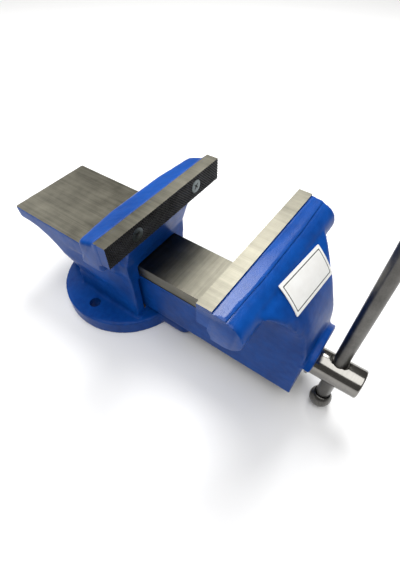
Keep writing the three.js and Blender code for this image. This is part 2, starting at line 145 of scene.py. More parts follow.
def face_outwards():
    """Turns the selected faces of a closed mesh outwards."""
    bpy.ops.mesh.normals_make_consistent(inside=False)


def settle(thing):
    """Puts an object's place, turn and scale into its mesh."""
    only(thing)
    bpy.ops.object.transform_apply(location=True, rotation=True, scale=True)


def paint_with(thing, material):
    """Gives an object its one material."""
    thing.data.materials.clear()
    thing.data.materials.append(material)


def primitive(add, material=None, **settings):
    """Adds a primitive by itself, at its size and place, and gives it its material."""
    clear_selection()
    add(**settings)
    thing = bpy.context.object
    settle(thing)
    if material:
        paint_with(thing, material)
    return thing


def block(one, other, material=None):
    """A box between two opposite corners, in millimetres."""
    middle = [(a + b) / 2 * MM for a, b in zip(one, other)]
    size = [abs(b - a) * MM for a, b in zip(one, other)]
    return primitive(bpy.ops.mesh.primitive_cube_add, material, size=1, location=middle, scale=size)


def slab(half, y, z, material=None):
    """A box that reaches as far left as right, from its half width and its ranges of y and z."""
    return block((-half, y[0], z[0]), (half, y[1], z[1]), material)


def rod(radius, point, direction, start, end, sides=64, material=None, tip=None):
    """A cylinder, or a cone with another radius at its tip, from start to end along a line."""
    direction = Vector(direction).normalized()
    middle = Vector(point) + direction * (start + end) / 2
    return primitive(
        bpy.ops.mesh.primitive_cone_add, material,
        vertices=sides, radius1=radius * MM, radius2=(radius if tip is None else tip) * MM,
        depth=(end - start) * MM, location=middle * MM,
        rotation=AXES["Z"].rotation_difference(direction).to_euler(),
    )


def drum(radius, start, end, centre, axis="Y", sides=96, material=None, tip=None):
    """A cylinder or cone along X, Y or Z. centre holds the two other coordinates."""
    point = list(centre)
    point.insert("XYZ".index(axis), 0)
    return rod(radius, point, AXES[axis], start, end, sides, material, tip)


def both_sides(make):
    """What make(side) makes at side -1 and at side 1."""
    return [make(side) for side in (-1, 1)]


def side_blocks(inner, outer, y, z, material=None):
    """A box on the left and one on the right, from inner to outer, with their ranges of y and z."""
    return both_sides(lambda side: block((side * inner, y[0], z[0]), (side * outer, y[1], z[1]), material))


def round_uprights(thing, width, segments=5):
    """Rounds the vertical edges of a block."""
    def upright(edge):
        start, end = (thing.data.vertices[index].co for index in edge.vertices)
        return (start - end).xy.length < MM / 100

    choose(thing, "edges", upright)
    with edit_mode(thing, None):
        bpy.ops.mesh.select_mode(type="EDGE")
        bpy.ops.mesh.bevel(offset=width * MM, segments=segments, affect="EDGES")
    return thing


def trim(thing, point, normal):
    """Cuts away what lies beyond a plane, in millimetres, and closes the cut."""
    with edit_mode(thing):
        bpy.ops.mesh.bisect(
            plane_co=[value * MM for value in point], plane_no=Vector(normal).normalized(),
            use_fill=True, clear_outer=True,
        )
    return thing


def apply_modifier(thing, kind, **settings):
    """Adds a modifier, sets it up and applies it."""
    only(thing)
    modifier = thing.modifiers.new(kind.title(), kind)
    for name, value in settings.items():
        setattr(modifier, name, value)
    bpy.ops.object.modifier_apply(modifier=modifier.name)
    return thing


def combine(thing, tools, operation):
    """Combines a solid with each of the tools, which are used up."""
    for tool in tools:
        apply_modifier(
            thing, "BOOLEAN", operation=operation, object=tool, solver="MANIFOLD", material_mode="TRANSFER",
        )
        bpy.data.objects.remove(tool, do_unlink=True)
    return thing


def carve(thing, *tools):
    """Cuts the tools out of a solid. The cut faces take the tool's material."""
    return combine(thing, tools, "DIFFERENCE")


def weld(thing, *others):
    """Joins other solids to a solid."""
    return combine(thing, others, "UNION")


def soften(thing, voxel=0.002, passes=9):
    """Gives a solid one even skin and rounds its edges and inner corners."""
    apply_modifier(thing, "REMESH", mode="VOXEL", voxel_size=voxel)
    return apply_modifier(thing, "SMOOTH", factor=0.5, iterations=passes)


def round_edges(thing, width, segments=3, angle=30):
    """Bevels the edges that are sharper than an angle."""
    return apply_modifier(
        thing, "BEVEL", width=width * MM, segments=segments, limit_method="ANGLE",
        angle_limit=math.radians(angle), use_clamp_overlap=True,
    )


def copy_to(thing, move, turn=0.0):
    """A copy with a mesh of its own, turned about Z and then moved, in millimetres and degrees."""
    only(thing)
    bpy.ops.object.duplicate(linked=False)
    other = bpy.context.object
    other.rotation_euler = (0, 0, math.radians(turn))
    other.location = Vector(move) * MM
    settle(other)
    return other


def finish_piece(thing, name, body, nodes, angle=32):
    """Names a finished piece, smooths its shading, ties it to its body and hides the nodes that it replaces.
    """
    only(thing)
    bpy.ops.object.shade_smooth_by_angle(angle=math.radians(angle))
    thing.name = name
    thing.data.name = name
    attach(thing, body)
    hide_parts(*nodes)
    return thing


# ---------------------------------------------------------------- shader maths

class Signal:
    """A shader socket that takes part in Python arithmetic."""

    def __init__(self, recipe, socket):
        self.recipe = recipe
        self.socket = socket

    def math(self, operation, *operands, clamp=False):
        values = dict(enumerate(operands))
        node = self.recipe.node("Math", {"operation": operation, "use_clamp": clamp}, values)
        return Signal(self.recipe, node.outputs[0])

    def __add__(self, other):
        return self.math("ADD", self, other)

    __radd__ = __add__

    def __sub__(self, other):
        return self.math("SUBTRACT", self, other)

    def __rsub__(self, other):
        return self.math("SUBTRACT", other, self)

    def __mul__(self, other):
        return self.math("MULTIPLY", self, other)

    __rmul__ = __mul__

    def between(self, low, high):
        """0 below low and 1 above high, with an even ramp from one to the other."""
        return self.math("MULTIPLY", self - low, 1 / (high - low), clamp=True)


class Recipe:
    """A material made of nodes, with one principled shader."""

    # The colour sockets of a Mix node, which has several of the same name.
    mix_first, mix_second, mix_result = 6, 7, 2

    def __init__(self, name):
        self.material = bpy.data.materials.new(name)
        self.material.use_nodes = True
        self.tree = self.material.node_tree
        self.shader = self.tree.nodes["Principled BSDF"]
        self.place = self.node("TexCoord").outputs["Object"]

    def node(self, kind, settings=None, values=None):
        """Adds a node, sets it up, and then sets or links its sockets."""
        made = self.tree.nodes.new("ShaderNode" + kind)
        for name, value in (settings or {}).items():
            setattr(made, name, value)
        for key, value in (values or {}).items():
            self.feed(made.inputs[key], value)
        return made

    def feed(self, socket, value):
        """Sets a socket, or links it where the value comes from another node."""
        if isinstance(value, Signal):
            value = value.socket
        if isinstance(value, bpy.types.NodeSocket):
            self.tree.links.new(value, socket)
        else:
            socket.default_value = value

    def noise(self, scale, detail=3, roughness=0.5, stretch=(1, 1, 1)):
        """Noise from 0 to 1. scale is in features per metre; stretch squeezes it along each axis."""
        spot = self.node("Mapping", {}, {"Vector": self.place, "Scale": stretch}).outputs[0]
        node = self.node(
            "TexNoise", {}, {"Vector": spot, "Scale": scale, "Detail": detail, "Roughness": roughness},
        )
        return Signal(self, node.outputs["Fac"])

    def along(self, axis):
        """A place's coordinate along X, Y or Z, in metres."""
        return Signal(self, self.node("SeparateXYZ", {}, {0: self.place}).outputs[axis])

    def blend(self, share, first, second):
        """One colour turning into another as share goes from 0 to 1."""
        values = {"Factor": share, self.mix_first: (*first, 1), self.mix_second: (*second, 1)}
        return self.node("Mix", {"data_type": "RGBA"}, values).outputs[self.mix_result]

    def bump(self, height, distance, strength=1.0, under=None):
        """Raises the surface by height times distance, in millimetres, on top of another bump."""
        values = {"Height": height, "Distance": distance * MM, "Strength": strength}
        if under is not None:
            values["Normal"] = under
        return self.node("Bump", {}, values).outputs[0]

    def done(self, colour, roughness, normal=None, coat=None, **constants):
        """Feeds the shader's varying sockets, sets its constant ones and gives the material."""
        inputs = self.shader.inputs
        self.feed(inputs["Base Color"], colour)
        self.feed(inputs["Roughness"], roughness)
        if normal is not None:
            self.feed(inputs["Normal"], normal)
        if coat is not None:
            self.feed(inputs["Coat Weight"], coat)
        for name, value in constants.items():
            inputs[name.replace("_", " ")].default_value = value
        return self.material


def colours():
    return bpy.context.scene.vise_colours


def sizes():
    return bpy.context.scene.vise_sizes


def stocked(name, make):
    """A material by name, made on its first use."""
    return bpy.data.materials.get(name) or make(Recipe(name))


def scaled(colour, share):
    """A colour with its light times a share."""
    return tuple(value * share for value in colour)


# ---------------------------------------------------------------- finishes

def blue_enamel():
    """Thick glossy enamel over sand-cast iron, rougher on the shelf of the sliding jaw, with extra coat at
    the shelf's near end as a painted sheen.
    """
    def make(recipe):
        tone = recipe.noise(22, 4)
        mottle = recipe.noise(160, 3)
        deep, bright = tuple(colours().enamel_deep), tuple(colours().enamel)
        colour = recipe.blend((tone * 0.7 + mottle * 0.3).between(0.32, 0.7), deep, bright)
        shelf = recipe.along("Z").between((JAW_TOP - 8) * MM, (JAW_TOP - 3) * MM)
        ahead = 1 - recipe.along("Y").between(MOVING_Y * MM, (MOVING_Y + 20) * MM)
        rough_cast = shelf * ahead
        # The shelf's near end gets extra coat: a painted sheen where a highlight shows
        sheen_near_end_painted = 1 - recipe.along("X").between(-HALF_JAW * MM, 0)
        grain = recipe.noise(1000, 2, 0.6)
        peel = recipe.noise(320, 3)
        swell = recipe.noise(70, 2)
        skin = recipe.bump(swell, 0.5, 0.6)
        skin = recipe.bump(peel, 0.12, 0.5, skin)
        skin = recipe.bump(grain * (0.1 + rough_cast * 1.4), 0.45, 0.9, skin)
        roughness = 0.28 + peel * 0.16 + rough_cast * 0.04
        coat = 0.05 + rough_cast * sheen_near_end_painted * 0.5
        return recipe.done(
            colour, roughness, skin, coat, Specular_IOR_Level=0.11, Coat_Roughness=0.16, IOR=1.5,
        )
    return stocked("blue enamel", make)


def ground_steel(name, run, shade=1.0):
    """Bare ground steel. run is the axis that the grinding lines follow. shade scales the colour: above 1 it
    paints in light, below 1 it paints in shade.
    """
    def make(recipe):
        stretch = [1.0, 1.0, 1.0]
        stretch["XYZ".index(run)] = 0.018
        lines = recipe.noise(1400, 3, 0.6, stretch)
        bands = recipe.noise(240, 3, 0.55, stretch)
        cloud = recipe.noise(38, 4, 0.6)
        # shade lightens or darkens this copy of the steel as painted light or painted shade
        light = scaled(colours().ground_steel, shade)
        mix = (lines * 0.3 + bands * 0.35 + cloud * 0.5).between(0.4, 0.74)
        colour = recipe.blend(mix, scaled(light, 0.42), light)
        roughness = 0.24 + lines * 0.18 + cloud * 0.14
        skin = recipe.bump(bands, 0.05, 0.5)
        skin = recipe.bump(lines, 0.02, 0.6, skin)
        return recipe.done(colour, roughness, skin, Metallic=1.0)
    return stocked("ground steel " + name, make)


def jawwise_steel():
    """The ground tops of the jaws and of their plates."""
    return ground_steel("jawwise", "Y")


def lengthwise_steel_painted_lighter():
    """The ground sides of the slide, the anvil and the underside, made 1.3 times lighter as painted light."""
    return ground_steel("lengthwise", "Y", 1.3)


def crosswise_steel_painted_darker():
    """The ground top of the slide, made darker as painted shade."""
    return ground_steel("across", "X", 0.75)


def black_plate():
    """Blackened tool steel for the serrated jaw faces."""
    black, worn_grey = (0.008, 0.008, 0.009), (0.05, 0.052, 0.056)

    def make(recipe):
        worn = recipe.noise(90, 4, 0.6)
        fine = recipe.noise(900, 2)
        colour = recipe.blend((worn * 0.8 + fine * 0.3).between(0.45, 0.85), black, worn_grey)
        return recipe.done(colour, 0.34 + fine * 0.2, recipe.bump(fine, 0.03, 0.5), Metallic=0.85)
    return stocked("blackened plate", make)


def turned_steel(name, tint, roughness):
    """Steel finished on a lathe about the Y axis, with fine rings."""
    def make(recipe):
        rings = recipe.noise(900, 2, 0.5, (0.02, 1, 0.02))
        cloud = recipe.noise(60, 3)
        colour = recipe.blend((rings * 0.4 + cloud * 0.6).between(0.3, 0.7), scaled(tint, 0.8), tint)
        rough = roughness + rings * 0.05 + cloud * 0.06
        return recipe.done(colour, rough, recipe.bump(rings, 0.004, 0.3), Metallic=1.0)
    return stocked("turned steel " + name, make)


def plain_steel(name, tint, roughness):
    """Drawn or plated steel with a cloudy satin surface."""
    def make(recipe):
        cloud = recipe.noise(75, 4, 0.6)
        fine = recipe.noise(700, 3)
        colour = recipe.blend((cloud * 0.7 + fine * 0.3).between(0.3, 0.7), scaled(tint, 0.55), tint)
        rough = roughness + fine * 0.12 + cloud * 0.08
        return recipe.done(colour, rough, recipe.bump(fine, 0.02, 0.5), Metallic=1.0)
    return stocked(name, make)


def zinc_plate():
    """Bright zinc plating on screws, washers and the pin."""
    return plain_steel("zinc plate", (0.15, 0.175, 0.18), 0.24)


def raw_iron():
    """Unpainted cast iron, dark and grainy."""
    dark, pale = (0.05, 0.047, 0.043), (0.16, 0.15, 0.14)

    def make(recipe):
        grain = recipe.noise(800, 4, 0.6)
        cloud = recipe.noise(60, 3)
        colour = recipe.blend((grain * 0.5 + cloud * 0.5).between(0.3, 0.7), dark, pale)
        return recipe.done(colour, 0.5 + grain * 0.25, recipe.bump(grain, 0.15, 0.8), Metallic=0.7)
    return stocked("raw cast iron", make)


def label_paper():
    """White label stock, a little soiled."""
    white, soiled = (0.86, 0.86, 0.84), (0.78, 0.77, 0.74)

    def make(recipe):
        fibre = recipe.noise(900, 3, 0.6)
        soil = recipe.noise(90, 4, 0.6)
        colour = recipe.blend(soil.between(0.35, 0.8), white, soiled)
        return recipe.done(colour, 0.34 + fibre * 0.12, recipe.bump(fibre, 0.02, 0.5), Coat_Weight=0.3)
    return stocked("label paper", make)


def label_ink():
    """The dark line round the label."""
    black, worn_grey = (0.012, 0.012, 0.013), (0.05, 0.05, 0.05)

    def make(recipe):
        wear = recipe.noise(300, 3, 0.6)
        colour = recipe.blend(wear.between(0.45, 0.8), black, worn_grey)
        return recipe.done(colour, 0.4 + wear * 0.1, recipe.bump(wear, 0.01, 0.5))
    return stocked("label ink", make)


def pale_floor():
    """An almost even pale floor."""
    def make(recipe):
        shade = recipe.noise(3, 2)
        light = tuple(colours().floor)
        colour = recipe.blend(shade, scaled(light, 0.99), light)
        return recipe.done(colour, 0.6 + shade * 0.05)
    return stocked("pale floor", make)


# ---------------------------------------------------------------- settings

class ViseSizes(bpy.types.PropertyGroup):
    """Sizes of the castings that the frame's boxes don't give."""

    skin_voxel: bpy.props.FloatProperty(
        name="Skin voxel", description="Grid of the cast skin; smaller is finer",
        default=0.0015, min=0.001, unit="LENGTH",
    )
    cast_softness: bpy.props.IntProperty(
        name="Cast softness", description="Passes that round the castings' edges", default=5, min=1, max=20,
    )
    cast_lumps: bpy.props.FloatProperty(
        name="Cast lumps", description="Depth of the unevenness of the cast surface",
        default=0.00035, min=0, unit="LENGTH",
    )
    serration_pitch: bpy.props.FloatProperty(
        name="Serration pitch", description="Distance between the points of the jaw plates",
        default=0.002, min=0.0008, unit="LENGTH",
    )
    serration_depth: bpy.props.FloatProperty(
        name="Serration depth", description="Height of the points of the jaw plates",
        default=0.0006, min=0, unit="LENGTH",
    )
    thread_lead: bpy.props.FloatProperty(
        name="Thread lead", description="Advance of the spindle for each turn", default=0.006, unit="LENGTH",
    )


class ViseColours(bpy.types.PropertyGroup):
    """Colours of the finishes."""

    enamel: bpy.props.FloatVectorProperty(
        name="Enamel", description="Blue enamel where it is thick", subtype="COLOR",
        default=(0.003, 0.078, 0.38), min=0, max=1,
    )
    enamel_deep: bpy.props.FloatVectorProperty(
        name="Deep enamel", description="Blue enamel where it is thin", subtype="COLOR",
        default=(0.001, 0.034, 0.19), min=0, max=1,
    )
    ground_steel: bpy.props.FloatVectorProperty(
        name="Ground steel", description="Bare ground steel", subtype="COLOR",
        default=(0.165, 0.157, 0.125), min=0, max=1,
    )
    floor: bpy.props.FloatVectorProperty(
        name="Floor", description="The pale floor", subtype="COLOR", default=(0.92, 0.92, 0.92), min=0, max=1,
    )


# ---------------------------------------------------------------- castings

# Sizes in millimetres that the castings share.
SLIDE_TOP = 90.0
HALF_SLIDE = 28.8
RUNNING_GAP = 0.3
SEAT_GAP = 0.05
STRIP_DEPTH = 12.8
SCREW_HOLE = 3.3
NUT_BOLT_HOLE = 4.3
NUT_BOLTS = ("front", "rear")

# A casting is a little too large before it is machined, and a cutter reaches past it.
ROUGH_HALF = HALF_JAW + 0.6
ROUGH_TOP = JAW_TOP + 1
ROUGH_STRIP = 14.4
CUT_HALF = HALF_JAW + 10
CUT_TOP = JAW_TOP + 9


def cast_skin(thing, parts):
    """Turns overlapping solids into one casting with soft edges and a slightly uneven surface."""
    only(thing, *parts)
    bpy.ops.object.join()
    soften(thing, sizes().skin_voxel, sizes().cast_softness)
    lumps = bpy.data.textures.new("cast lumps", "CLOUDS")
    lumps.noise_scale = 0.014
    lumps.noise_depth = 2
    apply_modifier(
        thing, "DISPLACE", texture=lumps, texture_coords="LOCAL", strength=sizes().cast_lumps, mid_level=1.0,
    )
    bpy.data.textures.remove(lumps)
    paint_with(thing, blue_enamel())
    return thing


def screw_holes(start, end, material):
    """The bores for the two screws of a jaw plate."""
    return both_sides(lambda side: drum(SCREW_HOLE, start, end, (side * SCREW_X, SCREW_Z), "Y", 32, material))


def bolt_spot(place):
    """The x and y of one of the nut's two bolts."""
    return centre_of("nut_bolt_washer_" + place)[:2]


class VISE_OT_fixed_casting(bpy.types.Operator):
    """Model the fixed jaw, anvil and base as one casting"""

    bl_idname = "vise.fixed_casting"
    bl_label = "Fixed casting"

    anvil_top = 104.0
    half_anvil = 48.6
    half_column = 43.6
    base_thick = 19.0
    front = face(21.5)
    rear = face(110.0)
    plate_seat = face(8.4)
    rough_end = ANVIL_REAR + 0.4
    bolt_x = 57.0
    bolt_hole = 6.5

    def execute(self, context):
        casting = cast_skin(self.base(), [self.column(), *self.jaw_head(), *self.shoulders()])
        self.machine(casting)
        finish_piece(casting, "fixed_casting", "fixed_jaw", ["fixed_jaw_body"])
        return {"FINISHED"}

    def base(self):
        """The round flange, the pad that the column stands on, and the web and tongue under the slide."""
        half_pad, half_web, half_tongue = 46.4, 36, 26
        underside, pad_foot, pad_top = -1, 5, self.base_thick + 2.2
        web_top = SLIDE_FOOT - RUNNING_GAP
        flange = drum(BASE_RADIUS, underside, self.base_thick, (0, 0), "Z", 160)
        pad = slab(half_pad, (self.front, self.rear), (pad_foot, pad_top))
        round_edges(pad, 5, 3, 80)
        tongue = slab(half_tongue, (TONGUE_TIP, face(40)), (underside, web_top))
        round_uprights(tongue, 10)
        web = slab(half_web, (self.front, self.rear), (underside, web_top))
        return weld(flange, pad, tongue, web)

    def passage(self, material=None):
        """The tunnel that the slide runs in: relieved below, narrow beside the ground strips."""
        relief, relief_top, narrow_foot = 4, 73, 60
        ends = (FACE_Y - 5, ANVIL_REAR + 5)
        return [
            slab(HALF_SLIDE + relief, ends, (SLIDE_FOOT - RUNNING_GAP, relief_top), material),
            slab(HALF_SLIDE + RUNNING_GAP, ends, (narrow_foot, SLIDE_TOP + RUNNING_GAP), material),
        ]

    def column(self):
        """The upright, hollowed a little on both sides by a very large radius."""
        foot, top = 5, 103
        hollow, sweep, middle_z = 1.0, 240.0, 62
        column = slab(self.half_column, (self.front, self.rear), (foot, top))
        scoops = both_sides(lambda side: drum(
            sweep, face(-20), face(150), (side * (self.half_column - hollow + sweep), middle_z), "Y", 256,
        ))
        return carve(column, *scoops, *self.passage())

    def jaw_head(self):
        """The brow over the passage, the head with its wings, and the rough strip over the plate."""
        brow_front, wing_rear, head_rear = face(11.6), face(37.5), face(41)
        brow_foot, wing_foot, heel_foot, head_foot = 92, 95, 120, 126
        wing_top, strip_foot = 134, 138
        cove, cove_top = HALF_JAW - self.half_column, 125
        wings = slab(ROUGH_HALF, (self.front, wing_rear), (wing_foot, wing_top))
        carve(wings, *both_sides(lambda side: drum(
            cove + ROUGH_HALF - HALF_JAW, face(0), face(60), (side * ROUGH_HALF, cove_top - cove), "Y", 96,
        )))
        brow = slab(self.half_column, (brow_front, wing_rear), (brow_foot, wing_top))
        trim(brow, (0, brow_front, 128), (0, -30, -10))
        head = slab(ROUGH_HALF, (self.plate_seat, head_rear), (head_foot, ROUGH_TOP))
        trim(head, (0, face(12), JAW_TOP - 1.6), (0, 8.6, 26.5))
        trim(head, (0, head_rear, 140), (0, 18, -6))
        for side in (-1, 1):
            trim(head, (side * 34, head_rear, 150), (side * 6.5, 41, 0))
        heel = slab(ROUGH_HALF, (self.plate_seat, face(11.5)), (heel_foot, strip_foot))
        carve(weld(head, carve(wings, *self.passage())), heel)
        soften(head)
        strip = slab(ROUGH_HALF, (self.plate_seat, face(ROUGH_STRIP)), (strip_foot, ROUGH_TOP))
        return [carve(brow, *self.passage()), head, strip]

    def shoulders(self):
        """The anvil run into the column, softened so that no ledge shows between them."""
        crown_foot = 97
        shoulders = soften(weld(self.anvil(), self.column()))
        crown = slab(self.half_anvil, (face(40), self.rough_end), (crown_foot, self.anvil_top + 1))
        return [shoulders, crown]

    def anvil(self):
        """The anvil's block, hollowed underneath by a cove that runs out to its open end."""
        cove_radius, cove_y = 59.0, face(167.6)
        flank_foot, top_foot, flank_top = 47.6, 86, 88
        under = SLIDE_TOP - 1.5
        length = (face(34), self.rough_end)
        step = self.half_anvil - self.half_column
        anvil = slab(self.half_anvil, length, (flank_foot, flank_top))
        for side in (-1, 1):
            flank = side * self.half_anvil
            trim(anvil, (flank, face(112), 60), (side * 67, -step, 0))
            trim(anvil, (flank, face(112), 68), (side * 20, 0, -step))
        weld(anvil, slab(self.half_anvil, length, (top_foot, self.anvil_top + 1)))
        cove = drum(cove_radius, -60, 60, (cove_y, under - cove_radius), "X", 160)
        open_end = slab(60, (cove_y, ANVIL_REAR + 20), (0, under))
        return carve(anvil, cove, open_end, *self.passage())

    def machine(self, casting):
        """Cuts the ground faces, the plate's seat, the slide's passage and all the holes."""
        enamel, iron, lengthwise = blue_enamel(), raw_iron(), lengthwise_steel_painted_lighter()
        ahead, past_head, past_anvil = face(-5), face(60), ANVIL_REAR + 20
        anvil_tool_top = self.anvil_top + 26
        bench_z, pocket_radius = (-5, 40), 9
        carve(
            casting,
            slab(90, (TONGUE_TIP - 5, past_anvil), (-20, 0), lengthwise),
            slab(60, (face(42), past_anvil), (self.anvil_top, anvil_tool_top), lengthwise),
            slab(60, (ANVIL_REAR, past_anvil), (60, anvil_tool_top), enamel),
            slab(CUT_HALF, (ahead, past_head), (JAW_TOP, CUT_TOP), jawwise_steel()),
            slab(CUT_HALF, (ahead, face(PLATE_THICK - SEAT_GAP)), (PLATE_FOOT - 2, CUT_TOP), enamel),
            slab(CUT_HALF, (face(STRIP_DEPTH), face(16)), (JAW_TOP - 1.5, CUT_TOP), enamel),
            *side_blocks(HALF_JAW, CUT_HALF, (ahead, past_head), (60, CUT_TOP), enamel),
            *self.passage(iron),
            *both_sides(lambda side: drum(
                self.bolt_hole, *bench_z, (side * self.bolt_x, 0), "Z", 64, enamel,
            )),
            *screw_holes(face(5), face(SCREW_LENGTH + 2), iron),
        )
        for place in NUT_BOLTS:
            pocket_top = corner("nut_bolt_washer_" + place, 1)[2] + 0.3
            carve(
                casting,
                drum(pocket_radius, bench_z[0], pocket_top, bolt_spot(place), "Z", 64, iron),
                drum(NUT_BOLT_HOLE, *bench_z, bolt_spot(place), "Z", 32, iron),
            )


class VISE_OT_sliding_casting(bpy.types.Operator):
    """Model the sliding jaw with its box slide and hood as one casting"""

    bl_idname = "vise.sliding_casting"
    bl_label = "Sliding casting"

    half_channel = 18.8
    channel_top = 81.0
    guide_foot = 76.3
    cast_top = 159.9
    wall_front = face(-156)
    wall_rear = face(-142)
    step_front = face(-113)
    shelf_front = face(-107)
    nose_y = face(-106)
    jaw_rear = face(-95)
    nose_z = 142.4
    nose_radius = 15.5
    belly_radius = 88.0
    bore_radius = 11.7
    step_slope = (0, -7.7, 14)

    def execute(self, context):
        casting = cast_skin(self.slide(), [self.belly(), self.nose(), self.shelf(), self.hood()])
        self.machine(casting)
        finish_piece(casting, "sliding_casting", "sliding_jaw", ["sliding_jaw_body"])
        return {"FINISHED"}

    def slide(self):
        """The hollow box slide, wider by its two guide strips behind the jaw."""
        bar = slab(HALF_SLIDE, (self.wall_front + 2, SLIDE_REAR + 1), (SLIDE_FOOT - 1, SLIDE_TOP + 1))
        guides = slab(
            HALF_SLIDE + 0.8, (self.jaw_rear - 2, SLIDE_REAR + 2), (self.guide_foot - 2, SLIDE_TOP + 2),
        )
        channel = slab(
            self.half_channel, (self.wall_rear, SLIDE_REAR + 5), (SLIDE_FOOT - 5, self.channel_top),
        )
        return carve(weld(bar, guides), channel)

    @classmethod
    def belly_centre(cls):
        """The y and z of the belly's axis of curvature."""
        return cls.wall_front + cls.belly_radius, 80.0

    def belly(self):
        """The wedge under the jaw: flared to its full width above, as narrow as the slide below."""
        flare, flare_z = 48.5, 104.0
        flare_x = HALF_SLIDE + flare
        ahead, behind = face(-170), face(-80)
        middle_y, middle_z = self.belly_centre()
        foot = slab(HALF_JAW, (self.wall_front, self.jaw_rear), (SLIDE_FOOT - 1, middle_z))
        trim(foot, (0, self.wall_front, 76), (0, -51, -2.6))
        belly = drum(self.belly_radius, -HALF_JAW, HALF_JAW, (middle_y, middle_z), "X", 256)
        trim(belly, (0, self.jaw_rear, 0), (0, 1, 0))
        trim(belly, (0, 0, middle_z - 5), (0, 0, -1))
        trim(belly, (0, self.shelf_front, 156.4), self.step_slope)
        carve(
            weld(belly, foot),
            *both_sides(lambda side: drum(flare, ahead, behind, (side * flare_x, flare_z), "Y", 128)),
            *side_blocks(HALF_SLIDE, HALF_JAW + 9, (ahead, behind), (0, flare_z)),
            slab(self.half_channel, (self.wall_rear, behind), (0, self.channel_top)),
        )
        return soften(belly)

    def nose(self):
        """The rounded bar along the front of the jaw."""
        radius, y, z = self.nose_radius, self.nose_y, self.nose_z
        nose = drum(radius, -ROUGH_HALF, ROUGH_HALF, (y, z), "X", 96)
        core = slab(ROUGH_HALF, (y, self.jaw_rear), (z - radius, self.cast_top))
        trim(core, (0, y, z + radius), self.step_slope)
        return weld(nose, core)

    def shelf(self):
        """The flat top behind the ground strip, with the strip itself."""
        strip = slab(ROUGH_HALF, (MOVING_Y - ROUGH_STRIP, MOVING_Y - PLATE_THICK + 2), (150, ROUGH_TOP))
        return weld(self.bowed_block(), strip)

    def bowed_block(self, material=None):
        """A block whose front edge stands forward a little in the middle."""
        bow, straight = 1.6, 30
        front = self.shelf_front - bow
        shelf = slab(ROUGH_HALF, (front, self.jaw_rear + 3), (146, self.cast_top), material)
        for side in (-1, 1):
            trim(shelf, (side * straight, front, 150), (side * bow, -45, 0))
        return shelf

    def step(self, material):
        """What is cut away in front of the shelf, above the nose."""
        reach = HALF_JAW + 20
        step = slab(HALF_JAW + 9, (self.step_front, self.shelf_front + 2), (155, CUT_TOP), material)
        nose = drum(self.nose_radius - 0.1, -reach, reach, (self.nose_y, self.nose_z), "X", 128, material)
        return carve(step, nose, self.bowed_block(material))

    def hood(self):
        """The round hood over the spindle, cut flat at the slide's sides and below."""
        radius, foot = 35.5, 74.4
        hood = drum(radius, HOOD_FRONT, self.wall_front + 4, SPINDLE_SPOT, "Y", 128)
        for side in (-1, 1):
            trim(hood, (side * HALF_SLIDE, 0, 0), (side, 0, 0))
        return trim(hood, (0, 0, foot), (0, 0, -1))

    def machine(self, casting):
        """Cuts the ground strips, the plate's seat, the spindle's bore and the screw holes."""
        enamel, iron = blue_enamel(), raw_iron()
        before_hood, past_jaw, past_slide = face(-170), face(-60), SLIDE_REAR + 20
        jaw_rear = self.jaw_rear + 0.4
        guide_z = (self.guide_foot, SLIDE_TOP + 9)
        seat = MOVING_Y - PLATE_THICK + SEAT_GAP
        carve(
            casting,
            self.step(enamel),
            slab(40, (jaw_rear, past_slide), (SLIDE_TOP, SLIDE_TOP + 12), crosswise_steel_painted_darker()),
            *side_blocks(HALF_SLIDE, 50, (jaw_rear + 2, past_slide), guide_z, lengthwise_steel_painted_lighter()),
            slab(60, (SLIDE_REAR, past_slide), (0, 120), iron),
            slab(60, (before_hood, past_slide), (0, SLIDE_FOOT), iron),
            slab(CUT_HALF, (face(-130), past_jaw), (JAW_TOP, CUT_TOP), jawwise_steel()),
            slab(CUT_HALF, (seat, past_jaw), (PLATE_FOOT - 2, CUT_TOP), enamel),
            slab(CUT_HALF, (self.step_front, MOVING_Y - STRIP_DEPTH), (self.cast_top - 0.3, CUT_TOP), enamel),
            *side_blocks(HALF_JAW, CUT_HALF, (face(-140), past_jaw), (60, CUT_TOP), enamel),
            drum(self.bore_radius, before_hood, face(-130), SPINDLE_SPOT, "Y", 96, iron),
            *screw_holes(MOVING_Y - SCREW_LENGTH - 2, MOVING_Y - 5, iron),
        )


# ---------------------------------------------------------------- plates and screws

PLATE_SHANK = 3.3
HEAD_SINK = 0.4
CONE_DEPTH = 3.4


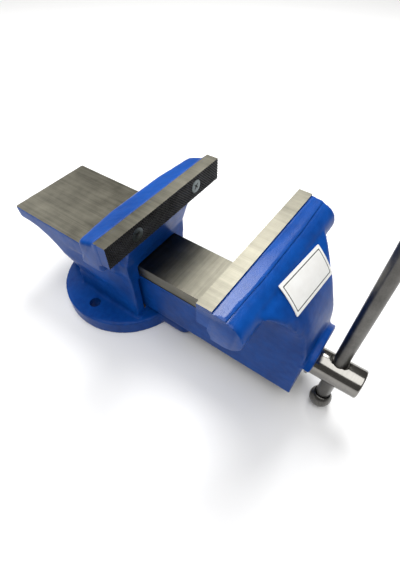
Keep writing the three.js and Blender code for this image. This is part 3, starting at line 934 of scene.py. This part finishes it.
class VISE_OT_jaw_plates(bpy.types.Operator):
    """Model the two serrated jaw plates"""

    bl_idname = "vise.jaw_plates"
    bl_label = "Jaw plates"

    head_radius = 6.7

    def execute(self, context):
        plate = self.plate()
        other = copy_to(plate, (0, FACE_Y + MOVING_Y, 0), 180)
        for piece, jaw in ((plate, "fixed"), (other, "sliding")):
            node = f"{jaw}_jaw_plate"
            finish_piece(piece, f"{jaw}_serrated_plate", f"{jaw}_jaw", [node], 20)
        return {"FINISHED"}

    def serrated_slab(self):
        """A slab whose front is covered by small pyramids that stand in diagonal rows."""
        pitch, depth = sizes().serration_pitch, sizes().serration_depth
        side = (2 * HALF_JAW + 2 * (JAW_TOP - PLATE_FOOT)) * MM
        count = int(side / pitch)
        clear_selection()
        bpy.ops.mesh.primitive_grid_add(
            x_subdivisions=count, y_subdivisions=count, size=count * pitch,
            location=(0, FACE_Y * MM + depth, SCREW_Z * MM), rotation=(math.pi / 2, 0, 0),
        )
        grid = bpy.context.object
        grid.rotation_euler.rotate_axis("Z", math.radians(45))
        settle(grid)
        self.keep_near_plate(grid)
        with edit_mode(grid):
            bpy.ops.mesh.extrude_region_move(TRANSFORM_OT_translate={"value": (0, 2 * PLATE_THICK * MM, 0)})
            bpy.ops.mesh.select_all(action="SELECT")
            face_outwards()
        choose(grid, "polygons", lambda polygon: polygon.normal.y < -0.9)
        with edit_mode(grid, None):
            bpy.ops.mesh.select_mode(type="FACE")
            bpy.ops.mesh.poke(offset=depth)
        paint_with(grid, black_plate())
        return grid

    def keep_near_plate(self, grid):
        """Deletes the squares well outside the plate's outline."""
        margin = 4 * MM

        def outside(polygon):
            x, _, z = polygon.center
            beyond_side = abs(x) > HALF_JAW * MM + margin
            return beyond_side or abs(z - SCREW_Z * MM) > (JAW_TOP - SCREW_Z) * MM + margin

        choose(grid, "polygons", outside)
        with edit_mode(grid, None):
            bpy.ops.mesh.select_mode(type="FACE")
            bpy.ops.mesh.delete(type="FACE")

    def plate(self):
        """The plate, ground on top, with its two countersunk holes."""
        dark = black_plate()
        plate = slab(HALF_JAW, (FACE_Y - 1, PLATE_REAR), (PLATE_FOOT, ROUGH_TOP), blue_enamel())
        combine(plate, [self.serrated_slab()], "INTERSECT")
        carve(plate, slab(90, (FACE_Y - 5, FACE_Y + 20), (JAW_TOP, CUT_TOP), jawwise_steel()))
        seat = FACE_Y + HEAD_SINK
        for side in (-1, 1):
            spot = (side * SCREW_X, SCREW_Z)
            carve(
                plate,
                drum(self.head_radius, FACE_Y - 2, seat + 0.1, spot, "Y", 64, dark),
                drum(self.head_radius, seat, seat + CONE_DEPTH, spot, "Y", 64, dark, PLATE_SHANK),
                drum(PLATE_SHANK, FACE_Y + 1, PLATE_REAR + 2, spot, "Y", 48, dark),
            )
        return plate


class VISE_OT_plate_screws(bpy.types.Operator):
    """Model the four countersunk screws that hold the jaw plates"""

    bl_idname = "vise.plate_screws"
    bl_label = "Plate screws"

    head_radius = 6.4
    shank_radius = 3.0

    def execute(self, context):
        screw = self.screw()
        for side, place in ((1, "right"), (-1, "left")):
            fixed = copy_to(screw, (side * SCREW_X, FACE_Y, SCREW_Z))
            sliding = copy_to(screw, (side * SCREW_X, MOVING_Y, SCREW_Z), 180)
            for piece, jaw in ((fixed, "fixed"), (sliding, "sliding")):
                node = f"{jaw}_plate_screw_{place}"
                finish_piece(piece, f"{jaw}_countersunk_screw_{place}", f"{jaw}_jaw", [node], 25)
        bpy.data.objects.remove(screw, do_unlink=True)
        return {"FINISHED"}

    def screw(self):
        """One screw with its head's face at the origin, looking towards -Y."""
        steel = zinc_plate()
        cone_end, point_start = HEAD_SINK + CONE_DEPTH, SCREW_LENGTH - 1
        head = drum(self.head_radius, HEAD_SINK, cone_end, (0, 0), "Y", 64, steel, self.shank_radius)
        round_edges(head, 0.35, 3, 30)
        shank = drum(self.shank_radius, cone_end - 0.5, point_start, (0, 0), "Y", 48, steel)
        point = drum(self.shank_radius, point_start - 0.01, SCREW_LENGTH, (0, 0), "Y", 48, steel, 2.0)
        weld(head, shank, point)
        return self.cross_recess(head)

    def cross_recess(self, head):
        """Cuts two crossed slots with sloping ends, and the pit in their middle."""
        dark = plain_steel("recess", (0.2, 0.2, 0.2), 0.4)
        reach, half_slot, slot_depth = 3.4, 0.62, 2.2
        for turn in (45, 135):
            slot = block((-reach, -2, -half_slot), (reach, slot_depth, half_slot), dark)
            trim(slot, (reach, 0, 0), (1, half_slot, 0))
            trim(slot, (-reach, 0, 0), (-1, half_slot, 0))
            slot.rotation_euler = (0, math.radians(turn), 0)
            settle(slot)
            carve(head, slot)
        return carve(head, drum(1.9, -1, 2.6, (0, 0), "Y", 4, dark, 0.9))


# ---------------------------------------------------------------- screw, washers, nut

THREAD_CREST = 11.0
THREAD_ROOT = 8.4


def thread_body(start, end, swell, material):
    """A trapezoidal right-hand thread along the spindle's axis, with softened corners."""
    crest, root, relief, rise = THREAD_CREST + swell, THREAD_ROOT + swell, 0.35, 0.7
    lead = sizes().thread_lead / MM
    crest_half = (lead / 2 - rise) / 2 + swell
    first = math.floor(start / lead) - 2
    turns = math.ceil((end - start) / lead) + 4
    middle = (first + 0.5) * lead
    outline = [
        (root, middle - lead / 2),
        (root, middle - crest_half - rise),
        (crest - relief, middle - crest_half - relief / 3),
        (crest, middle - crest_half + relief),
        (crest, middle + crest_half - relief),
        (crest - relief, middle + crest_half + relief / 3),
        (root, middle + crest_half + rise),
        (root, middle + lead / 2),
    ]
    points = [(0, y * MM, radius * MM) for radius, y in outline]
    mesh = bpy.data.meshes.new("thread")
    mesh.from_pydata(points, [(i, i + 1) for i in range(len(points) - 1)], [])
    thread = bpy.data.objects.new("thread", mesh)
    bpy.context.scene.collection.objects.link(thread)
    apply_modifier(
        thread, "SCREW", axis="Y", angle=2 * math.pi, screw_offset=lead * MM, iterations=turns,
        steps=40, render_steps=40, use_merge_vertices=True, merge_threshold=MM / 100, use_smooth_shade=False,
    )
    thread.location.z = AXIS_Z * MM
    settle(thread)
    trim(thread, (0, start, 0), (0, -1, 0))
    trim(thread, (0, end, 0), (0, 1, 0))
    with edit_mode(thread):
        face_outwards()
    paint_with(thread, material)
    return thread


def pin_place():
    """Where the split pin crosses the spindle's axis."""
    return (0, centre_of("split_pin")[1], AXIS_Z)


class VISE_OT_spindle(bpy.types.Operator):
    """Model the spindle with its thread, journal, shoulder and drilled head"""

    bl_idname = "vise.spindle"
    bl_label = "Spindle"

    head_radius = 13.5
    journal_radius = 11.3
    shoulder = WASHER_FRONT - 0.3
    journal_rear = face(-111)
    neck_rear = journal_rear + 2.9
    thread_front = face(-62)
    bar_hole = 6.9
    pin_hole = 2.3

    def execute(self, context):
        steel = turned_steel("spindle", (0.30, 0.29, 0.27), 0.1)
        journal = self.journal_radius
        head = drum(self.head_radius, HEAD_FRONT, self.shoulder, SPINDLE_SPOT, "Y", 128, steel)
        round_edges(head, 1.6, 4, 60)
        weld(
            head,
            drum(journal, self.shoulder - 1, self.journal_rear, SPINDLE_SPOT, "Y", 96, steel),
            drum(journal, self.journal_rear, self.neck_rear, SPINDLE_SPOT, "Y", 96, steel, THREAD_ROOT),
            drum(THREAD_ROOT, self.journal_rear - 1, self.thread_front + 1, SPINDLE_SPOT, "Y", 96, steel),
            thread_body(self.thread_front, THREAD_REAR, 0.0, steel),
        )
        self.drill(head, steel)
        finish_piece(head, "threaded_spindle", "spindle", ["spindle"], 35)
        return {"FINISHED"}

    def drill(self, head, steel):
        """Cuts the bar's hole with its two countersunk mouths, the pin's hole and the centre mark."""
        mouth, wide_mouth, mouth_start, mouth_end = 8.1, 10.3, 12.2, 14.4
        reach = 20
        carve(
            head,
            rod(self.bar_hole, BAR_CENTRE, BAR_TURN, -reach, reach, 64, steel),
            rod(mouth, BAR_CENTRE, BAR_TURN, mouth_start, mouth_end, 64, steel, wide_mouth),
            rod(wide_mouth, BAR_CENTRE, BAR_TURN, -mouth_end, -mouth_start, 64, steel, mouth),
            rod(self.pin_hole, pin_place(), BAR_TURN, -reach, reach, 32, steel),
            drum(3.2, HEAD_FRONT - 0.1, HEAD_FRONT + 3, SPINDLE_SPOT, "Y", 48, steel, 0.2),
        )


def washer(node, name, material):
    """A flat washer on the spindle's axis that fills a node's box."""
    bore = 11.7
    low, high = corners(node)
    ring = drum((high[0] - low[0]) / 2, low[1], high[1], SPINDLE_SPOT, "Y", 96, material)
    round_edges(ring, 0.5, 3, 60)
    carve(ring, drum(bore, low[1] - 2, high[1] + 2, SPINDLE_SPOT, "Y", 96, material))
    return finish_piece(ring, name, "spindle", [node], 35)


class VISE_OT_retainers(bpy.types.Operator):
    """Model the thrust washer, the spring, its washer and the split pin"""

    bl_idname = "vise.retainers"
    bl_label = "Washers, spring and pin"

    wire = 1.25
    turns = 4

    def execute(self, context):
        washer_steel = turned_steel("washer", (0.42, 0.41, 0.40), 0.3)
        washer("thrust_washer", "thrust_ring", washer_steel)
        washer("retaining_washer", "spring_seat_ring", zinc_plate())
        self.spring()
        self.pin()
        return {"FINISHED"}

    def spring(self):
        """A round wire wound about the spindle, with closed ends."""
        low, high = corners("retaining_spring")
        radius = (high[0] - low[0]) / 2 - self.wire
        rise = high[1] - low[1] - 2 * self.wire
        coil = primitive(
            bpy.ops.mesh.primitive_circle_add,
            vertices=16, radius=self.wire * MM, location=(0, (low[1] + self.wire) * MM, radius * MM),
            rotation=(0, math.pi / 2, 0),
        )
        apply_modifier(
            coil, "SCREW", axis="Y", angle=2 * math.pi * self.turns, screw_offset=rise * MM, iterations=1,
            steps=48 * self.turns, render_steps=48 * self.turns,
        )
        coil.location.z = AXIS_Z * MM
        settle(coil)
        with edit_mode(coil, "DESELECT"):
            bpy.ops.mesh.select_mode(type="EDGE")
            bpy.ops.mesh.select_non_manifold()
            bpy.ops.mesh.edge_face_add()
            bpy.ops.mesh.select_all(action="SELECT")
            face_outwards()
        paint_with(coil, plain_steel("spring steel", (0.16, 0.16, 0.165), 0.3))
        finish_piece(coil, "coil_spring", "spindle", ["retaining_spring"], 50)

    def pin(self):
        """A rolled pin: a short tube with a slit along it."""
        steel = zinc_plate()
        place = pin_place()
        half_length, slit_reach, half_slit = 17, 16.6, 0.3
        pin = rod(2.0, place, BAR_TURN, -half_length, half_length, 32, steel)
        round_edges(pin, 0.4, 2, 60)
        _, y, z = place
        slit = block((1, y - half_slit, z - slit_reach), (3, y + half_slit, z + slit_reach), steel)
        carve(pin, rod(0.9, place, BAR_TURN, -half_length - 1, half_length + 1, 24, steel), slit)
        finish_piece(pin, "roll_pin", "spindle", ["split_pin"], 40)


class VISE_OT_main_nut(bpy.types.Operator):
    """Model the nut that the spindle turns in, with its two bolts and washers"""

    bl_idname = "vise.main_nut"
    bl_label = "Main nut and bolts"

    bolt_radius = 4.0
    head_radius = 7.5
    thread_play = 0.4

    def execute(self, context):
        iron = raw_iron()
        steel = turned_steel("nut thread", (0.35, 0.34, 0.32), 0.35)
        low, high = corners("main_nut")
        half = high[0]
        nut = slab(half, (low[1], high[1]), (low[2], AXIS_Z), iron)
        weld(nut, drum(half, low[1], high[1], SPINDLE_SPOT, "Y", 128, iron))
        round_edges(nut, 0.8, 3, 60)
        carve(
            nut,
            thread_body(low[1] - 3, high[1] + 3, self.thread_play, steel),
            *[drum(NUT_BOLT_HOLE, 10, AXIS_Z - 14, bolt_spot(place), "Z", 48, iron) for place in NUT_BOLTS],
        )
        finish_piece(nut, "spindle_nut", "fixed_jaw", ["main_nut"], 35)
        for place in NUT_BOLTS:
            self.bolt(place)
            self.bolt_washer(place)
        return {"FINISHED"}

    def bolt(self, place):
        """A hexagon bolt that points upwards, with its corners turned off."""
        black = plain_steel("black bolt", (0.05, 0.05, 0.052), 0.4)
        low, high = corners("nut_bolt_" + place)
        spot = bolt_spot(place)
        seat = corner("nut_bolt_washer_" + place, 0)[2] - 0.3
        radius = self.head_radius
        head = drum(radius, low[2], seat, spot, "Z", 6, black)
        cone = drum(radius - 1.1, low[2] - 1, seat + 1, spot, "Z", 64, black, radius + 1.5)
        combine(head, [cone], "INTERSECT")
        weld(head, drum(self.bolt_radius, seat - 1, high[2], spot, "Z", 48, black))
        round_edges(head, 0.3, 2, 50)
        finish_piece(head, f"hex_bolt_{place}", "fixed_jaw", ["nut_bolt_" + place], 30)

    def bolt_washer(self, place):
        """A bolt's washer, which fills its node's box."""
        steel = zinc_plate()
        spot = bolt_spot(place)
        low, high = corners("nut_bolt_washer_" + place)
        disc = drum((high[0] - low[0]) / 2, low[2], high[2], spot, "Z", 64, steel)
        round_edges(disc, 0.25, 2, 60)
        carve(disc, drum(NUT_BOLT_HOLE, 0, 40, spot, "Z", 48, steel))
        finish_piece(disc, f"bolt_ring_{place}", "fixed_jaw", ["nut_bolt_washer_" + place], 35)


# ---------------------------------------------------------------- handle

class VISE_OT_tommy_bar(bpy.types.Operator):
    """Model the tommy bar and the knobs on its ends"""

    bl_idname = "vise.tommy_bar"
    bl_label = "Tommy bar and knobs"

    bar_radius = 6.5
    spigot_radius = 4.0
    spigot_length = 9.0
    knob_radius = 10.33
    knob_flat = 7.4
    low_reach = 43.6
    high_reach = 186.0
    gap = 0.3

    def execute(self, context):
        steel = plain_steel("bar steel", (0.17, 0.165, 0.155), 0.24)
        low, high = self.knob_flat - self.low_reach, self.high_reach - self.knob_flat
        bar = rod(self.bar_radius, BAR_CENTRE, BAR_TURN, low, high, 96, steel)
        round_edges(bar, 0.6, 3, 60)
        for start, end in ((low - self.spigot_length, low + 1), (high - 1, high + self.spigot_length)):
            weld(bar, rod(self.spigot_radius, BAR_CENTRE, BAR_TURN, start, end, 48, steel))
        finish_piece(bar, "sliding_bar", "tommy_bar", ["tommy_bar"], 35)
        self.knob("lower", -1, low, steel)
        self.knob("upper", 1, high, steel)
        return {"FINISHED"}

    def knob(self, place, way, seat, steel):
        """A ball with a flat where the bar enters it, and a groove round the bar painted near black as
        painted shade.
        """
        direction = Vector(BAR_TURN).normalized()
        centre = Vector(BAR_CENTRE) + direction * (seat + way * (self.knob_flat + self.gap))
        ball = primitive(
            bpy.ops.mesh.primitive_uv_sphere_add, steel,
            segments=64, ring_count=40, radius=self.knob_radius * MM, location=centre * MM,
            rotation=AXES["Z"].rotation_difference(direction).to_euler(),
        )
        flat = Vector(BAR_CENTRE) + direction * (seat + way * self.gap)
        trim(ball, flat, direction * -way)
        round_edges(ball, 0.7, 3, 30)
        groove = sorted((seat - way, seat + way * 1.2))
        bore = sorted((seat - way, seat + way * (self.spigot_length + self.gap)))
        # The groove and the bore are painted near black: painted shade in the recess
        dark = plain_steel("knob groove", (0.03, 0.03, 0.03), 0.6)
        carve(
            ball,
            rod(self.bar_radius + 0.9, BAR_CENTRE, BAR_TURN, *groove, 64, dark),
            rod(self.spigot_radius + self.gap, BAR_CENTRE, BAR_TURN, *bore, 48, dark),
        )
        finish_piece(ball, f"ball_end_{place}", "tommy_bar", [f"bar_knob_{place}"], 30)


# ---------------------------------------------------------------- label

class VISE_OT_label(bpy.types.Operator):
    """Model the blank label on the sliding jaw"""

    bl_idname = "vise.label"
    bl_label = "Blank label"

    width = 59.0
    height = 27.4
    angle = math.radians(44.5)
    tilt = math.radians(5.0)
    sunk = 0.3
    raised = 0.35
    line_inset = 5.0
    line_width = 0.8
    line_depth = 0.04

    def execute(self, context):
        sliding = VISE_OT_sliding_casting
        centre, radius = sliding.belly_centre(), sliding.belly_radius
        middle_x = centre_of("blank_label")[0]
        place = Vector((
            middle_x, centre[0] - radius * math.cos(self.angle), centre[1] + radius * math.sin(self.angle),
        ))
        paper, ink = label_paper(), label_ink()
        top = radius + self.raised
        label = drum(top, -60, 60, centre, "X", 360, paper)
        carve(label, drum(radius - self.sunk, -70, 70, centre, "X", 360, paper))
        combine(label, [self.outline(0, place, paper)], "INTERSECT")
        line = carve(
            self.outline(self.line_inset, place, ink),
            self.outline(self.line_inset + 2 * self.line_width, place, ink),
            drum(top - self.line_depth, -70, 70, centre, "X", 360, ink),
        )
        carve(label, line)
        finish_piece(label, "plain_label", "sliding_jaw", ["blank_label"], 30)
        return {"FINISHED"}

    def outline(self, inset, place, material):
        """A tall block with the label's rounded outline, standing out through the belly."""
        width, height, tall = self.width - inset, self.height - inset, 40
        tool = primitive(
            bpy.ops.mesh.primitive_cube_add, material, size=1, scale=(width * MM, height * MM, tall * MM),
        )
        round_uprights(tool, 0.8, 4)
        turn = Matrix.Rotation(math.pi / 2 - self.angle, 3, "X") @ Matrix.Rotation(-self.tilt, 3, "Z")
        tool.rotation_euler = turn.to_euler()
        tool.location = place * MM
        settle(tool)
        return tool


# ---------------------------------------------------------------- stage

class VISE_OT_stage(bpy.types.Operator):
    """Set up the floor, the soft lights and the camera"""

    bl_idname = "vise.stage"
    bl_label = "Floor, lights and camera"

    camera_place = (-0.1855, -0.2473, 0.3491)
    camera_target = (-0.0175, -0.1205, 0.090)
    camera_roll = -1.39
    lens = 22.76
    shift = (0.0014, 0.0061)

    def execute(self, context):
        self.floor()
        self.world()
        self.lights()
        self.camera()
        context.scene.view_settings.view_transform = "Standard"
        return {"FINISHED"}

    def floor(self):
        floor = primitive(bpy.ops.mesh.primitive_plane_add, pale_floor(), size=6, location=(0, 0, 0))
        floor.name = "floor"

    def world(self):
        """A weak, slightly warm light from all round."""
        world = bpy.data.worlds.new("studio")
        bpy.context.scene.world = world
        world.use_nodes = True
        background = world.node_tree.nodes["Background"]
        background.inputs["Color"].default_value = (1.0, 0.98, 0.95, 1)
        background.inputs["Strength"].default_value = 0.15

    def lights(self):
        """Two soft lamps, and an even light from above and slightly from the left."""
        for name, place, target, size, power in (
            ("key", (0.60, 0.10, 1.0), (0, -0.08, 0.08), 0.6, 12),
            ("back", (0.3, 1.2, 0.9), (0, -0.05, 0.08), 0.8, 3),
        ):
            lamp = self.light(name, "AREA", power, Vector(target) - Vector(place), place)
            lamp.shape = "DISK"
            lamp.size = size
        ceiling = self.light("ceiling", "SUN", 2.2, Vector((0.2, 0.1, -1)))
        ceiling.angle = math.radians(60)

    def light(self, name, kind, power, direction, place=(0, 0, 0)):
        """Adds a light that shines from a place in a direction."""
        lamp = bpy.data.lights.new(name, kind)
        lamp.energy = power
        light = bpy.data.objects.new(name, lamp)
        bpy.context.scene.collection.objects.link(light)
        light.location = place
        light.rotation_euler = direction.to_track_quat("-Z", "Y").to_euler()
        return lamp

    def camera(self):
        lens = bpy.data.cameras.new("camera")
        camera = bpy.data.objects.new("camera", lens)
        bpy.context.scene.collection.objects.link(camera)
        lens.sensor_width = 36
        lens.lens = self.lens
        lens.shift_x, lens.shift_y = self.shift
        lens.clip_start = 0.01
        place, target = Vector(self.camera_place), Vector(self.camera_target)
        aim = (target - place).to_track_quat("-Z", "Y").to_matrix()
        camera.rotation_euler = (aim @ Matrix.Rotation(math.radians(self.camera_roll), 3, "Z")).to_euler()
        camera.location = place
        bpy.context.scene.camera = camera


# ---------------------------------------------------------------- panel

STEPS = [
    VISE_OT_stage, VISE_OT_fixed_casting, VISE_OT_sliding_casting, VISE_OT_jaw_plates, VISE_OT_plate_screws,
    VISE_OT_spindle, VISE_OT_retainers, VISE_OT_main_nut, VISE_OT_tommy_bar, VISE_OT_label,
]


class VISE_PT_sidebar(bpy.types.Panel):
    """The steps that model the vise, with their sizes and colours"""

    bl_idname = "VISE_PT_sidebar"
    bl_label = "Bench vise"
    bl_space_type = "VIEW_3D"
    bl_region_type = "UI"
    bl_category = "Vise"

    def draw(self, context):
        for group in (context.scene.vise_sizes, context.scene.vise_colours):
            box = self.layout.box()
            for name in group.bl_rna.properties.keys():
                if name not in ("rna_type", "name"):
                    box.prop(group, name)
        for step in STEPS:
            self.layout.operator(step.bl_idname)


CLASSES = [ViseSizes, ViseColours, *STEPS, VISE_PT_sidebar]


def register():
    for kind in CLASSES:
        bpy.utils.register_class(kind)
    bpy.types.Scene.vise_sizes = bpy.props.PointerProperty(type=ViseSizes)
    bpy.types.Scene.vise_colours = bpy.props.PointerProperty(type=ViseColours)


def unregister():
    del bpy.types.Scene.vise_colours
    del bpy.types.Scene.vise_sizes
    for kind in reversed(CLASSES):
        bpy.utils.unregister_class(kind)


def main():
    register()
    for step in STEPS:
        group, name = step.bl_idname.split(".")
        getattr(getattr(bpy.ops, group), name)()


if __name__ == "__main__":
    main()
